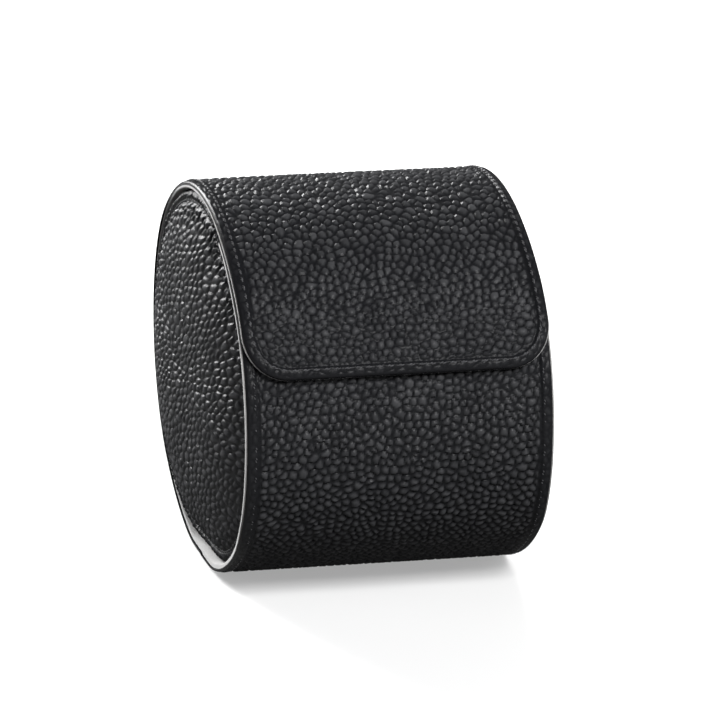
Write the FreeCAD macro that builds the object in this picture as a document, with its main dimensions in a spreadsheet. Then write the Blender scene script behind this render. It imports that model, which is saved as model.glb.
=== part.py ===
import FreeCAD, Part
import math
import os
import Sketcher

# Watch roll for one watch: a leather wrap of oval section around a removable cushion with padded ends.
# X runs along the roll, the flap closes over the front at -Y, and Z is up from the flat rest face.

SIZES = [
    ("roll_length", "70", "length of the wrap along its axis"),
    ("half_depth", "58", "half of the long way across the oval"),
    ("half_height", "44.5", "half of the short way across the oval"),
    ("nose_share", "0.86", "radius of the front and rear rounds as a part of the half height"),
    ("rest_half_width", "11", "half of the width of the flat rest face"),
    ("leather", "0.9", "thickness of the leather"),
    ("lining", "1.1", "thickness of the suede lining with its pocket"),
    ("core", "0.6", "thickness of the boards and magnet strips in the wrap"),
    ("leaf_gap", "0.4", "clear space between the flap and the tongue below it"),
    ("bend_gap", "0.5", "space between two leaves at a bend line"),
    ("fit", "0.15", "clearance around a piece in its pocket"),
    ("slip", "0.05", "clearance above and below a piece in its pocket"),
    ("tip_angle", "19", "where the flap ends, up from the middle of the front"),
    ("flap_bend_angle", "140", "where the flap bends, over the top from the middle of the front"),
    ("front_bend_angle", "55", "where the front leaf bends, down from the middle of the front"),
    ("level_angle", "15", "where the front leaf has sunk to its full depth"),
    ("tongue_angle", "70", "where the tongue of the front leaf ends"),
    ("corner_radius", "10", "radius of the flap corners"),
    ("border", "2.2", "distance of a stitch line from its edge"),
    ("groove_width", "0.9", "width of a stitch groove"),
    ("groove_depth", "0.5", "depth of a stitch groove"),
    ("thread", "0.45", "thickness of the sewing thread"),
    ("stitch_pitch", "2.5", "length of one stitch with its hole"),
    ("stitch_share", "0.72", "part of the pitch that shows as thread"),
    ("board_margin", "5", "distance of a wrap board from the edges of its leaf"),
    ("magnet_length", "36", "length of a magnet strip along the roll"),
    ("magnet_width", "8", "width of a magnet strip"),
    ("magnet_angle", "34", "middle of the magnet strips, up from the middle of the front"),
    ("panel_gap", "0.7", "clearance of the end panels in the wrap"),
    ("seat_gap", "0.3", "space between the end panels and the lining they sit on"),
    ("panel_recess", "1.2", "depth of the panel rim behind the end of the wrap"),
    ("panel_dome", "4.4", "height of the padded middle of a panel over its rim"),
    ("panel_edge", "0.6", "rounding at the rim of a panel"),
    ("dome_share", "0.75", "part of the panel's round over which the padding rises"),
    ("panel_board", "2", "thickness of the board in a panel"),
    ("panel_foam", "1.5", "thickness of the foam under the rim"),
    ("suede", "0.8", "thickness of the suede on the insert"),
    ("cushion_half_depth", "38", "half of the long way across the cushion"),
    ("cushion_half_height", "24", "half of the short way across the cushion"),
    ("cushion_nose_share", "0.83", "radius of the cushion's rounds as a part of its half height"),
    ("cushion_crown", "0.8", "rise of the cushion in the middle of its length"),
    ("cushion_draw", "4", "how far the cushion is drawn in at its ends"),
]

doc = FreeCAD.newDocument("watch_roll")
sheet = doc.addObject("Spreadsheet::Sheet", "Sizes")
for row, (alias, value, note) in enumerate(SIZES, start=1):
    sheet.set(f"A{row}", note)
    sheet.set(f"B{row}", value)
    sheet.setAlias(f"B{row}", alias)
doc.recompute()


def size(alias):
    return float(sheet.get(alias))


class Oval:
    """A four-centre oval across the roll. Angles run from the front over the top."""

    def __init__(self, half_depth, half_height, nose, middle_y, middle_z):
        self.nose = nose
        self.shoulder = half_depth - nose
        self.flank = (half_height**2 - nose**2 + self.shoulder**2) / (2 * (half_height - nose))
        self.drop = self.flank - half_height
        self.join = math.degrees(math.atan2(self.drop, self.shoulder))
        self.middle_y = middle_y
        self.middle_z = middle_z

    def on_nose(self, angle):
        slant = abs(math.degrees(math.asin(math.sin(math.radians(angle)))))
        return slant <= self.join

    def radius(self, angle):
        return self.nose if self.on_nose(angle) else self.flank

    def point(self, angle, inset, x):
        ahead = -math.cos(math.radians(angle))
        above = math.sin(math.radians(angle))
        reach = self.radius(angle) - inset
        if self.on_nose(angle):
            start_y = math.copysign(self.shoulder, ahead)
            start_z = 0.0
        else:
            start_y = 0.0
            start_z = -math.copysign(self.drop, above)
        return FreeCAD.Vector(
            x, self.middle_y + start_y + reach * ahead, self.middle_z + start_z + reach * above
        )

    def turn(self, length, angle):
        return math.degrees(length / self.radius(angle))

    def front_angle(self, height):
        if height <= self.nose * math.sin(math.radians(self.join)):
            return math.degrees(math.asin(height / self.nose))
        return math.degrees(math.asin((height + self.drop) / self.flank))

    def ring(self, inset, x):
        marks = [-self.join, self.join, 180 - self.join, 180 + self.join, 360 - self.join]
        edges = []
        for low, high in zip(marks[:-1], marks[1:]):
            spots = [self.point(angle, inset, x) for angle in (low, (low + high) / 2, high)]
            edges.append(Part.Arc(*spots).toShape())
        return Part.Wire(edges)


length = size("roll_length")
half_length = length / 2
leather = size("leather")
wrap = leather + size("lining")
fit = size("fit")
core_near = leather + size("slip")
core_far = core_near + size("core")
pocket_far = core_far + size("slip")
border = size("border")
thread = size("thread")
groove_width = size("groove_width")
groove_depth = size("groove_depth")
half_gap = size("bend_gap") / 2
sunk = wrap + size("leaf_gap")
body_nose = size("half_height") * size("nose_share")
body_oval = Oval(size("half_depth"), size("half_height"), body_nose, 0.0, 0.0)

rest_half_angle = math.degrees(math.asin(size("rest_half_width") / body_oval.flank))
rest_sink = body_oval.flank * (1 - math.cos(math.radians(rest_half_angle)))
lift = size("half_height") - rest_sink

flap_bend = size("flap_bend_angle")
front_bend = -size("front_bend_angle")
level = size("level_angle")
tongue = size("tongue_angle")
join = body_oval.join


def settle(node):
    """Moves a piece from the middle of the oval to the frame on the rest face."""
    node.Placement = FreeCAD.Placement(FreeCAD.Vector(0, 0, lift), FreeCAD.Rotation())
    return node


def sinking(angle):
    """Depth of the front leaf below the oval, easing from its bend up to its full depth."""
    share = min(max((angle - front_bend) / (level - front_bend), 0.0), 1.0)
    return sunk * share**2 * (3 - 2 * share)


def flush(angle):
    return 0.0


def marks_between(first, last, extra):
    """Angles from first to last, with the joins of the oval's arcs and any extra ones between."""
    joins = [turn + side for turn in (-360, -180, 0, 180) for side in (-join, join)]
    low, high = min(first, last), max(first, last)
    inner = sorted({angle for angle in joins + extra if low < angle < high})
    return [low] + inner + [high]


def curve(marks, fall, inset):
    """Edges along the oval through the marks, straight across the rest face."""
    rest = (-90 - rest_half_angle, -90 + rest_half_angle)
    edges = []
    for low, high in zip(marks[:-1], marks[1:]):
        first = body_oval.point(low, fall(low) + inset, 0)
        last = body_oval.point(high, fall(high) + inset, 0)
        if (low, high) == rest:
            edges.append(Part.makeLine(first, last))
        else:
            middle = (low + high) / 2
            between = body_oval.point(middle, fall(middle) + inset, 0)
            edges.append(Part.Arc(first, between, last).toShape())
    return edges


def layer_profile(marks, fall, near, far):
    outer = curve(marks, fall, near)
    inner = curve(marks, fall, far)
    ends = []
    for angle in (marks[0], marks[-1]):
        ends.append(
            Part.makeLine(
                body_oval.point(angle, fall(angle) + near, 0), body_oval.point(angle, fall(angle) + far, 0)
            )
        )
    return Part.Face(Part.Wire(Part.__sortEdges__(outer + inner + ends)))


def layer(name, marks, fall, near, far, length_rule):
    """A bent sheet between two depths, extruded along the roll."""
    profile = doc.addObject("Part::Feature", name + "_profile")
    profile.Shape = layer_profile(marks, fall, near, far)
    sheet_body = doc.addObject("Part::Extrusion", name)
    sheet_body.Base = profile
    sheet_body.DirMode = "Custom"
    sheet_body.Dir = FreeCAD.Vector(1, 0, 0)
    sheet_body.Solid = True
    sheet_body.Symmetric = True
    sheet_body.setExpression("LengthFwd", length_rule)
    return sheet_body


def cut(name, base, tool):
    result = doc.addObject("Part::Cut", name)
    result.Base = base
    result.Tool = tool
    return result


def common(name, base, tool):
    result = doc.addObject("Part::Common", name)
    result.Base = base
    result.Tool = tool
    return result


def tool_piece(name, shape):
    tool = doc.addObject("Part::Feature", name)
    tool.Shape = shape
    return tool


def prism(marks, fall, near, far, start_x, width):
    face = layer_profile(marks, fall, near, far)
    face.translate(FreeCAD.Vector(start_x, 0, 0))
    return face.extrude(FreeCAD.Vector(width, 0, 0))


def end_grooves(marks, fall):
    """Stitch grooves along both ends of a leaf, open to the outside."""
    grooves = []
    for side in (-1, 1):
        middle_x = side * (half_length - border)
        grooves.append(prism(marks, fall, -thread, groove_depth, middle_x - groove_width / 2, groove_width))
    return Part.makeCompound(grooves)


def stitch_row(points, closed):
    """Equal stitches along a fine row of points."""
    if closed:
        points = points + points[:1]
    runs = [0.0]
    for before, after in zip(points[:-1], points[1:]):
        runs.append(runs[-1] + before.distanceToPoint(after))
    count = max(round(runs[-1] / size("stitch_pitch")), 1)
    step = runs[-1] / count

    def at(run):
        index = 1
        while index < len(runs) - 1 and runs[index] < run:
            index += 1
        share = (run - runs[index - 1]) / (runs[index] - runs[index - 1])
        return points[index - 1] + (points[index] - points[index - 1]) * share

    stitches = []
    for number in range(count):
        first = at((number + (1 - size("stitch_share")) / 2) * step)
        last = at((number + (1 + size("stitch_share")) / 2) * step)
        along = last - first
        stitches.append(Part.makeCylinder(thread / 2, along.Length, first, along))
    return stitches


def fine_angles(first, last):
    count = max(round(abs(last - first)), 2)
    return [first + (last - first) * number / count for number in range(count + 1)]


def end_stitches(name, angles, fall):
    """Stitching along both ends of a leaf, lying in its grooves."""
    stitches = []
    for side in (-1, 1):
        x = side * (half_length - border)
        row = [body_oval.point(angle, fall(angle) + groove_depth / 2, x) for angle in angles]
        stitches += stitch_row(row, False)
    node = doc.addObject("Part::Feature", name)
    node.Shape = Part.makeCompound(stitches)
    return node


def pocketed(name, solid, pockets):
    """A lining with the pockets for its board and magnet."""
    return cut(name, solid, tool_piece(name + "_pockets", Part.makeCompound(pockets)))


# The shell runs from the front bend along the underside and up the rear to the flap bend.
shell_first = front_bend - body_oval.turn(half_gap, front_bend)
shell_last = flap_bend - 360 + body_oval.turn(half_gap, flap_bend)
rest_marks = [-90 - rest_half_angle, -90 + rest_half_angle]
shell_marks = marks_between(shell_first, shell_last, rest_marks)
shell_raw = layer("shell_hide", shell_marks, flush, 0.0, leather, "Sizes.roll_length")
shell_leather = cut(
    "shell_leather", shell_raw, tool_piece("shell_grooves", end_grooves(shell_marks, flush))
)
shell_inner = layer("shell_suede", shell_marks, flush, leather, wrap, "Sizes.roll_length")
board_turn = body_oval.turn(size("board_margin"), flap_bend)
board_rule = "Sizes.roll_length - 2 * Sizes.board_margin"
shell_board_marks = marks_between(shell_first - board_turn, shell_last + board_turn, rest_marks)
shell_board = layer(
    "shell_board", shell_board_marks, flush, core_near, core_far, board_rule
)
board_half = half_length - size("board_margin")
fit_turn = body_oval.turn(fit, flap_bend)


def pocket(first, last, extra, fall, half_x):
    marks = marks_between(first - fit_turn, last + fit_turn, extra)
    return prism(marks, fall, leather, pocket_far, -half_x - fit, 2 * (half_x + fit))


shell_pocket = pocket(shell_last + board_turn, shell_first - board_turn, rest_marks, flush, board_half)
shell_lining = pocketed("shell_lining", shell_inner, [shell_pocket])
shell_stitch_angles = fine_angles(shell_last, rest_marks[0]) + fine_angles(rest_marks[1], shell_first)
shell_stitches = end_stitches("shell_stitches", shell_stitch_angles, flush)

# The flap runs from its bend over the top to its rounded end on the front.
flap_last = flap_bend - body_oval.turn(half_gap, flap_bend)
flap_first = size("tip_angle") - body_oval.turn(border, size("tip_angle"))
flap_marks = marks_between(flap_first, flap_last, [])
tip_height = body_oval.nose * math.sin(math.radians(size("tip_angle")))


def flap_outline(inset):
    """The front view of the flap, drawn in by an inset and run through the whole depth."""
    half = half_length - inset
    low = tip_height + inset
    radius = size("corner_radius") - inset
    slope = radius * math.sqrt(0.5)
    high = size("half_height") + thread

    def spot(x, z):
        return FreeCAD.Vector(x, -size("half_depth"), z)

    edges = [
        Part.makeLine(spot(-half, high), spot(-half, low + radius)),
        Part.Arc(
            spot(-half, low + radius),
            spot(-half + radius - slope, low + radius - slope),
            spot(-half + radius, low),
        ).toShape(),
        Part.makeLine(spot(-half + radius, low), spot(half - radius, low)),
        Part.Arc(
            spot(half - radius, low),
            spot(half - radius + slope, low + radius - slope),
            spot(half, low + radius),
        ).toShape(),
        Part.makeLine(spot(half, low + radius), spot(half, high)),
        Part.makeLine(spot(half, high), spot(-half, high)),
    ]
    return Part.Face(Part.Wire(edges)).extrude(FreeCAD.Vector(0, 2 * size("half_depth"), 0))


outline_tool = tool_piece("flap_outline", flap_outline(0.0))
flap_band = flap_outline(border - groove_width / 2).cut(flap_outline(border + groove_width / 2))
flap_groove = prism(flap_marks, flush, -thread, groove_depth, -half_length, length).common(flap_band)
flap_raw = layer("flap_hide", flap_marks, flush, 0.0, leather, "Sizes.roll_length")
flap_cut = common("flap_shaped", flap_raw, outline_tool)
flap_leather = cut("flap_leather", flap_cut, tool_piece("flap_grooves", flap_groove))
flap_suede = layer("flap_suede", flap_marks, flush, leather, wrap, "Sizes.roll_length")
flap_inner = common("flap_suede_shaped", flap_suede, outline_tool)
magnet_turn = body_oval.turn(size("magnet_width") / 2, size("magnet_angle"))
magnet_low = size("magnet_angle") - magnet_turn
magnet_high = size("magnet_angle") + magnet_turn
magnet_marks = marks_between(magnet_low, magnet_high, [])
flap_board_first = magnet_high + board_turn
flap_board_last = flap_last - board_turn
flap_board = layer(
    "flap_board",
    marks_between(flap_board_first, flap_board_last, []),
    flush,
    core_near,
    core_far,
    board_rule,
)
flap_magnet = layer("flap_magnet", magnet_marks, flush, core_near, core_far, "Sizes.magnet_length")
magnet_half = size("magnet_length") / 2
flap_lining = pocketed(
    "flap_lining",
    flap_inner,
    [
        pocket(flap_board_first, flap_board_last, [], flush, board_half),
        pocket(magnet_low, magnet_high, [], flush, magnet_half),
    ],
)


def flap_stitch_path():
    """Points around the flap on its stitch line, from the bend down one side and up the other."""
    half = half_length - border
    low = tip_height + border
    radius = size("corner_radius") - border
    turn_angle = body_oval.front_angle(low + radius)
    start = flap_last - body_oval.turn(half_gap, flap_bend)
    side = [(-half, angle) for angle in fine_angles(start, turn_angle)]
    corner = []
    for lean in fine_angles(0, 90):
        across = radius * (1 - math.cos(math.radians(lean)))
        down = radius * math.sin(math.radians(lean))
        corner.append((-half + across, body_oval.front_angle(low + radius - down)))
    left = side + corner[1:]
    right = [(-x, angle) for x, angle in reversed(left)]
    return [body_oval.point(angle, groove_depth / 2, x) for x, angle in left + right]


flap_stitches = doc.addObject("Part::Feature", "flap_stitches")
flap_stitches.Shape = Part.makeCompound(stitch_row(flap_stitch_path(), False))

# The front leaf sinks from its bend below the flap and ends as a tongue under it.
front_first = front_bend + body_oval.turn(half_gap, front_bend)
sinking_steps = 8
sinking_step = (level - front_bend) / sinking_steps
sinking_marks = [front_bend + sinking_step * number for number in range(1, sinking_steps + 1)]
front_marks = marks_between(front_first, tongue, sinking_marks)
front_raw = layer("front_hide", front_marks, sinking, 0.0, leather, "Sizes.roll_length")
front_leather = cut(
    "front_leather", front_raw, tool_piece("front_grooves", end_grooves(front_marks, sinking))
)
front_inner = layer("front_suede", front_marks, sinking, leather, wrap, "Sizes.roll_length")
front_board_first = front_first + board_turn
front_board_last = magnet_low - board_turn
front_board = layer(
    "front_board",
    marks_between(front_board_first, front_board_last, sinking_marks),
    sinking,
    core_near,
    core_far,
    board_rule,
)
front_magnet_marks = marks_between(magnet_low, magnet_high, sinking_marks)
front_magnet = layer("front_magnet", front_magnet_marks, sinking, core_near, core_far, "Sizes.magnet_length")
front_lining = pocketed(
    "front_lining",
    front_inner,
    [
        pocket(front_board_first, front_board_last, sinking_marks, sinking, board_half),
        pocket(magnet_low, magnet_high, sinking_marks, sinking, magnet_half),
    ],
)
front_stitches = end_stitches("front_stitches", fine_angles(front_first, tongue), sinking)

# The end panels fill the ends of the wrap and sit on the lining of the underside.
suede = size("suede")
panel_low = lift - wrap - size("seat_gap")
panel_high = size("half_height") - sunk - wrap - size("panel_gap")
panel_half_height = (panel_low + panel_high) / 2
panel_shift_z = (panel_high - panel_low) / 2
panel_shift_y = sunk / 2
panel_shrink = wrap + size("panel_gap") + sunk / 2
panel_half_depth = size("half_depth") - panel_shrink
panel_nose = body_nose - panel_shrink
panel_oval = Oval(panel_half_depth, panel_half_height, panel_nose, panel_shift_y, panel_shift_z)
rim_x = half_length - size("panel_recess")
stack = leather + size("panel_foam") + size("panel_board") + suede
inner_x = rim_x - stack
board_x = inner_x + suede
foam_x = board_x + size("panel_board")
dome_span = size("dome_share") * (panel_nose - border)
dome_steps = 6


def loft(stations, oval):
    """A closed solid through ovals of given insets at given places along the roll."""
    wires = [oval.ring(inset, x) for inset, x in stations]
    return Part.makeLoft(wires, True, True)


def padding(start_inset, sink):
    """Stations of the padded middle, from the stitch line to the crown."""
    stations = []
    for number in range(1, dome_steps + 1):
        share = number / dome_steps
        rise = size("panel_dome") * math.sin(math.radians(90 * share))
        stations.append((start_inset + dome_span * share, rim_x - sink + rise))
    return stations


def panel_outside():
    stations = [
        (0.0, board_x),
        (0.0, rim_x - size("panel_edge")),
        (border / 2, rim_x),
        (border, rim_x - thread),
    ]
    return loft(stations + padding(border, 0.0), panel_oval)


def panel_inside(start_x):
    stations = [
        (leather, start_x),
        (leather, rim_x - leather - size("panel_edge")),
        (border, rim_x - leather - thread),
    ]
    return loft(stations + padding(border, leather), panel_oval)


wrap_rule = "(Sizes.leather + Sizes.lining)"
sunk_rule = f"({wrap_rule} + Sizes.leaf_gap)"
nose_rule = f"Sizes.half_height * Sizes.nose_share - {wrap_rule} - Sizes.panel_gap - {sunk_rule} / 2"
shoulder_rule = "Sizes.half_depth - Sizes.half_height * Sizes.nose_share"


def oval_sketch(body, inset, inset_rule):
    """The outline of a panel, drawn in by an inset, with its rounds bound to the sheet."""
    sketch = body.newObject("Sketcher::SketchObject", body.Name + "_outline")
    plane = [item for item in body.Origin.OriginFeatures if item.Role == "YZ_Plane"][0]
    sketch.AttachmentSupport = [(plane, "")]
    sketch.MapMode = "FlatFace"
    nose = panel_oval.nose - inset
    flank = panel_oval.flank - inset
    tilt = math.radians(panel_oval.join)
    arcs = [
        (panel_oval.shoulder, 0.0, nose, -tilt, tilt),
        (0.0, -panel_oval.drop, flank, tilt, math.pi - tilt),
        (-panel_oval.shoulder, 0.0, nose, math.pi - tilt, math.pi + tilt),
        (0.0, panel_oval.drop, flank, math.pi + tilt, 2 * math.pi - tilt),
    ]
    for across, up, radius, first, last in arcs:
        circle = Part.Circle(FreeCAD.Vector(across, up, 0), FreeCAD.Vector(0, 0, 1), radius)
        sketch.addGeometry(Part.ArcOfCircle(circle, first, last), False)
    for number in range(4):
        sketch.addConstraint(Sketcher.Constraint("Tangent", number, 2, (number + 1) % 4, 1))
    for number, sign in ((0, 1), (2, -1)):
        sketch.addConstraint(Sketcher.Constraint("PointOnObject", number, 3, -1))
        shoulder = sign * panel_oval.shoulder
        place = sketch.addConstraint(Sketcher.Constraint("DistanceX", -1, 1, number, 3, shoulder))
        sketch.setExpression(f"Constraints[{place}]", f"{sign} * ({shoulder_rule})")
        bend = sketch.addConstraint(Sketcher.Constraint("Radius", number, nose))
        sketch.setExpression(f"Constraints[{bend}]", f"{nose_rule} - {inset_rule}")
    for number in (1, 3):
        sketch.addConstraint(Sketcher.Constraint("Radius", number, flank))
    return sketch


def plate(name, inset, inset_rule, depth_rule, start_x):
    """A flat plate of the panel's outline."""
    body = doc.addObject("PartDesign::Body", name)
    sketch = oval_sketch(body, inset, inset_rule)
    pad = body.newObject("PartDesign::Pad", name + "_pad")
    pad.Profile = sketch
    pad.setExpression("Length", depth_rule)
    body.Tip = pad
    body.Placement = FreeCAD.Placement(
        FreeCAD.Vector(start_x, panel_shift_y, panel_shift_z + lift), FreeCAD.Rotation()
    )
    return body


def panel_stitches(side):
    x = side * (rim_x - thread / 2 + fit / 2)
    row = [panel_oval.point(angle, border, x) for angle in fine_angles(-180, 180)[:-1]]
    return Part.makeCompound(stitch_row(row, True))


origin = FreeCAD.Vector(0, 0, 0)
along = FreeCAD.Vector(1, 0, 0)
panel_skin = panel_outside().cut(panel_inside(board_x))
panel_pad = panel_inside(foam_x)
insert_nodes = []
for side_name, side in (("left", -1), ("right", 1)):
    cover_shape = panel_skin if side > 0 else panel_skin.mirror(origin, along)
    foam_shape = panel_pad if side > 0 else panel_pad.mirror(origin, along)
    cover = doc.addObject("Part::Feature", side_name + "_panel_cover")
    cover.Shape = cover_shape
    foam = doc.addObject("Part::Feature", side_name + "_panel_foam")
    foam.Shape = foam_shape
    stitches = doc.addObject("Part::Feature", side_name + "_panel_stitches")
    stitches.Shape = panel_stitches(side)
    insert_nodes += [settle(cover), settle(foam), settle(stitches)]
    board_start = board_x if side > 0 else -foam_x
    board_inset_rule = "(Sizes.leather + Sizes.fit)"
    insert_nodes.append(
        plate(side_name + "_panel_board", leather + fit, board_inset_rule, "Sizes.panel_board", board_start)
    )
    lining_start = inner_x if side > 0 else -board_x
    insert_nodes.append(plate(side_name + "_panel_lining", fit, "Sizes.fit", "Sizes.suede", lining_start))

# The cushion reaches from one panel to the other and carries the watch around its middle.
cushion_nose = size("cushion_half_height") * size("cushion_nose_share")
cushion_oval = Oval(
    size("cushion_half_depth"), size("cushion_half_height"), cushion_nose, panel_shift_y, panel_shift_z
)
cushion_steps = 12


def pillow(shrink):
    """The cushion, crowned in the middle and drawn in at its ends."""
    half = inner_x - shrink
    stations = []
    for number in range(cushion_steps + 1):
        place = 2 * number / cushion_steps - 1
        swell = size("cushion_crown") * (1 - place**2) - size("cushion_draw") * abs(place) ** 5
        stations.append((shrink - swell, half * place))
    return loft(stations, cushion_oval)


cushion_foam = doc.addObject("Part::Feature", "cushion_foam")
cushion_foam.Shape = pillow(suede)
cushion_cover = doc.addObject("Part::Feature", "cushion_cover")
cushion_cover.Shape = pillow(0.0).cut(pillow(suede))
insert_nodes += [settle(cushion_foam), settle(cushion_cover)]

wrap_nodes = [
    shell_leather, shell_board, shell_lining, shell_stitches,
    flap_leather, flap_board, flap_lining, flap_stitches, flap_magnet,
    front_leather, front_board, front_lining, front_stitches, front_magnet,
]
nodes = [settle(node) for node in wrap_nodes] + insert_nodes
doc.recompute()

# The frame's origin is under the middle of the whole roll.
whole = FreeCAD.BoundBox()
for node in nodes:
    whole.add(node.Shape.BoundBox)
to_middle = FreeCAD.Placement(FreeCAD.Vector(0, -whole.Center.y, 0), FreeCAD.Rotation())
for node in nodes:
    node.Placement = to_middle.multiply(node.Placement)
doc.recompute()

for item in doc.Objects:
    if "Invalid" in item.State or "Error" in item.State:
        raise RuntimeError(item.Name + " did not build")
os.makedirs("parts", exist_ok=True)
for node in nodes:
    node.Label = node.Name
    shape = node.Shape
    if shape.isNull() or not shape.isValid():
        raise RuntimeError(node.Name + " has no sound shape")
    shape.exportStep("parts/" + node.Name + ".step")
    box = shape.BoundBox
    print(
        node.Name, len(shape.Solids), round(shape.Volume, 1),
        [round(value, 2) for value in (box.XMin, box.XMax, box.YMin, box.YMax, box.ZMin, box.ZMax)],
    )
for name, angle in (("flap bend", flap_bend), ("front bend", front_bend)):
    spot = to_middle.multVec(body_oval.point(angle, -half_gap, 0) + FreeCAD.Vector(0, 0, lift))
    print(name, [round(value, 3) for value in spot])
print("middle of the oval", [round(value, 3) for value in to_middle.multVec(FreeCAD.Vector(0, 0, lift))])
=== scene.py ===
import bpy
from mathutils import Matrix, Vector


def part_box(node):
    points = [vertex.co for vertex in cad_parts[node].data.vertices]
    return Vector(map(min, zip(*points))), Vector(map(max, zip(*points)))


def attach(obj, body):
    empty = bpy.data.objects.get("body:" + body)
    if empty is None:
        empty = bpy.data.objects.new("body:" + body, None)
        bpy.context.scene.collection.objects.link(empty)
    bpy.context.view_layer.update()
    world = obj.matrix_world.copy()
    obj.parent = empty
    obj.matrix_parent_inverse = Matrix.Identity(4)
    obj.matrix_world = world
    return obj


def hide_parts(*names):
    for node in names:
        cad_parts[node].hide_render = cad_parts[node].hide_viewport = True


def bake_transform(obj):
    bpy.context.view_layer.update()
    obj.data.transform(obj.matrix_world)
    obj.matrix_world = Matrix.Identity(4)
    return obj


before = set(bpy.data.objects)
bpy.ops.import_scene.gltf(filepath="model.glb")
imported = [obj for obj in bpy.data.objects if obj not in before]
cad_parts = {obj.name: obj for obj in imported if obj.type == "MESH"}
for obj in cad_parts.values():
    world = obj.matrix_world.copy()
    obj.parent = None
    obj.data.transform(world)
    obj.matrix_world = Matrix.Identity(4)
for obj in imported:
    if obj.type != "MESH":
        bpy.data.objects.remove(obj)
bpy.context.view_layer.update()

import math

import bpy
import numpy as np
from mathutils import Vector

# A closed leather watch roll. Sizes are in millimetres, angles in degrees, and meshes are made in metres.
MM = 0.001
FULL_TURN = 360.0
UNDERSIDE = -90.0

# Sizes that the part's source has too
HALF_LENGTH = 35.0
HALF_DEPTH = 58.0
HALF_HEIGHT = 44.5
NOSE_SHARE = 0.86
REST_HALF_WIDTH = 11.0
WRAP = 2.0
FRONT_LEATHER = 0.9
LEAF_GAP = 0.4
TIP_ANGLE = 19.0
FLAP_BEND_ANGLE = 140.0
FRONT_BEND_ANGLE = -55.0
LEVEL_ANGLE = 15.0
TONGUE_ANGLE = 70.0
CORNER = 10.0
PANEL_GAP = 0.7
SEAT_GAP = 0.3
CUSHION_HALF_DEPTH = 38.0
CUSHION_HALF_HEIGHT = 24.0
CUSHION_NOSE_SHARE = 0.83
CUSHION_CROWN = 0.8
CUSHION_DRAW = 4.0

# Sizes of the looks alone
REAR_LEATHER = 1.3
STITCH_LINE = 1.95
STITCH_PITCH = 2.4
STITCH_SHARE = 0.78
THREAD = 0.5
RIM_X = 34.15
PANEL_DOME = 4.0
PANEL_BACK_X = 29.45
PANEL_LINING_X = 28.6
PANEL_CLEAR = 0.3


class Oval:
    """A four-centre oval across the roll. Angles run from the front over the top."""

    def __init__(self, half_depth, half_height, nose, middle_y, middle_z):
        self.nose = nose
        self.shoulder = half_depth - nose
        self.flank = (half_height**2 - nose**2 + self.shoulder**2) / (2 * (half_height - nose))
        self.drop = self.flank - half_height
        self.join = math.degrees(math.atan2(self.drop, self.shoulder))
        self.middle_y = middle_y
        self.middle_z = middle_z

    def point(self, angle, inset):
        ahead = -np.cos(np.radians(angle))
        above = np.sin(np.radians(angle))
        slant = np.degrees(np.arcsin(np.clip(np.abs(above), 0, 1)))
        on_nose = slant <= self.join
        reach = np.where(on_nose, self.nose, self.flank) - inset
        start_y = np.where(on_nose, np.sign(ahead) * self.shoulder, 0.0)
        start_z = np.where(on_nose, 0.0, -np.sign(above) * self.drop)
        return self.middle_y + start_y + reach * ahead, self.middle_z + start_z + reach * above


def ease(value, low, high):
    share = np.clip((value - low) / (high - low), 0.0, 1.0)
    return share * share * (3 - 2 * share)


# Places that follow from the sizes and the frame
NOSE = HALF_HEIGHT * NOSE_SHARE
LEAF_SUNK = WRAP + LEAF_GAP
rear_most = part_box("shell_leather")[1][1] / MM
MIDDLE_Y = rear_most - HALF_DEPTH
flat_oval = Oval(HALF_DEPTH, HALF_HEIGHT, NOSE, 0.0, 0.0)
REST_HALF_ANGLE = math.degrees(math.asin(REST_HALF_WIDTH / flat_oval.flank))
REST_SLOPE = math.cos(math.radians(REST_HALF_ANGLE))
LIFT = HALF_HEIGHT - flat_oval.flank * (1 - REST_SLOPE)
body_oval = Oval(HALF_DEPTH, HALF_HEIGHT, NOSE, MIDDLE_Y, LIFT)
panel_below = LIFT - WRAP - SEAT_GAP
panel_above = HALF_HEIGHT - LEAF_SUNK - WRAP - PANEL_GAP
PANEL_MIDDLE_Y = MIDDLE_Y + LEAF_SUNK / 2
PANEL_MIDDLE_Z = LIFT + (panel_above - panel_below) / 2
cushion_oval = Oval(
    CUSHION_HALF_DEPTH,
    CUSHION_HALF_HEIGHT,
    CUSHION_HALF_HEIGHT * CUSHION_NOSE_SHARE,
    PANEL_MIDDLE_Y,
    PANEL_MIDDLE_Z,
)


# Materials. Noise mostly lies between the two values of NOISE_SPAN.
NOISE_SPAN = (0.3, 0.7)
BUMP_STRENGTH = 0.8
# The leather's colour runs from the creases to the pebble tops; the darker creases are painted shade.
LEATHER_SHADED_STOPS = [
    (0.05, (0.0065, 0.0067, 0.0077)),
    (0.35, (0.013, 0.0132, 0.0145)),
    (1.0, (0.043, 0.0434, 0.046)),
]
LEATHER_TONES = (0.1, 1.0)
LEATHER_ROUGHNESS = (0.55, 0.75)
COAT_ROUGHNESS = 0.26
WRINKLE_DEPTH = 0.05
WRINKLE_DETAIL = 4.0
WRINKLE_TONE = 0.12
PATCH_SCALE = 0.09
PATCH_DETAIL = 3.0
PATCH_TONES = (0.82, 1.12)
SUEDE_CLOUD_SCALE = 90.0
SUEDE_CLOUD_DETAIL = 4.0
SUEDE_FUZZ_SCALE = 2600.0
SUEDE_FUZZ_DETAIL = 3.0
SUEDE_FUZZ_SHARE = 0.5
SUEDE_ROUGHNESS = (0.85, 1.0)
SUEDE_GLOSS = 0.2
SUEDE_SHEEN = 0.25
SUEDE_SHEEN_ROUGHNESS = 0.5
PLAIN_DETAIL = 5.0


def nodes_of(name):
    material = bpy.data.materials.new(name)
    material.use_nodes = True
    tree = material.node_tree
    shader = tree.nodes["Principled BSDF"]
    return material, tree, shader


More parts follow.
